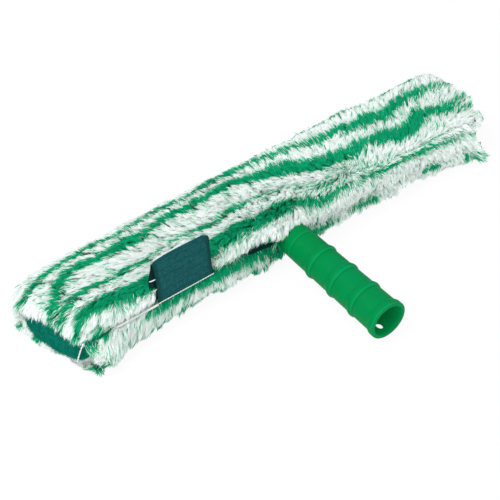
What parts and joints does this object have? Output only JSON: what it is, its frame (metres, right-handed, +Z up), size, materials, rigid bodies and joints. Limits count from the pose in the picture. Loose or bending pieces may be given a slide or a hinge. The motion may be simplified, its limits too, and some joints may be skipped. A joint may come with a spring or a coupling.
{
  "type": "window strip washer",
  "caption": "T-shaped window washer: plush pile sleeve with scouring pad ends, drawn over a moulded bar with a ridged, tapered socket handle.",
  "frame": {"origin": "middle of the bounding box in plan, on the surface that the washer lies on", "axes": "+X along the bar, the handle points along -Y, +Z up out of the upper face of the sleeve"},
  "size_m": [0.4518, 0.207, 0.0748],
  "materials": {
    "handle_plastic": "satin moulded polypropylene, green",
    "bar_plastic": "moulded, green",
    "screw_steel": "zinc plated",
    "plush_pile": "long microfibre pile in white and green stripes",
    "scour_pad": "dense non-woven abrasive pad, dark teal",
    "dark_tape": "hook and loop tape, dark teal",
    "label_cloth": "woven ribbon, bare, dark teal",
    "stitch_thread": "overlocked white thread"
  },
  "bodies": {
    "t_bar": {"handle_tube": "handle_plastic", "bar_upper_shell": "bar_plastic", "bar_lower_shell": "bar_plastic", "bar_screw_1": "screw_steel", "bar_screw_2": "screw_steel", "bar_screw_3": "screw_steel", "bar_screw_4": "screw_steel", "bar_screw_5": "screw_steel", "bar_screw_6": "screw_steel", "handle_screw_1": "screw_steel", "handle_screw_2": "screw_steel"},
    "sleeve": {"pile_top": "plush_pile", "pile_bottom": "plush_pile", "pile_back": "plush_pile", "front_pile_left": "plush_pile", "front_pile_right": "plush_pile", "closure_lip": "plush_pile", "hook_tape": "dark_tape", "scour_pad_left": "scour_pad", "scour_pad_right": "scour_pad", "stitched_edge": "stitch_thread"},
    "flap": {"closure_flap": "plush_pile", "loop_tape": "dark_tape"},
    "label": {"care_label": "label_cloth"}
  },
  "joints": [
    {"name": "sleeve_pull_off", "type": "slide", "parent": "t_bar", "child": "sleeve", "axis": [0, 1, 0], "range_m": [0, 0.085], "deforming": ["front_pile_left", "front_pile_right", "closure_lip", "closure_flap", "loop_tape", "hook_tape"]},
    {"name": "closure_flap_open", "type": "hinge", "parent": "sleeve", "child": "flap", "pos_m": [-0.047, 0.0191, 0.046], "axis": [-1, 0, 0], "range_deg": [0, 90]},
    {"name": "label_flip", "type": "hinge", "parent": "sleeve", "child": "label", "pos_m": [-0.11, 0.0174, 0.0338], "axis": [1, 0, 0], "range_deg": [0, 95]}
  ]
}
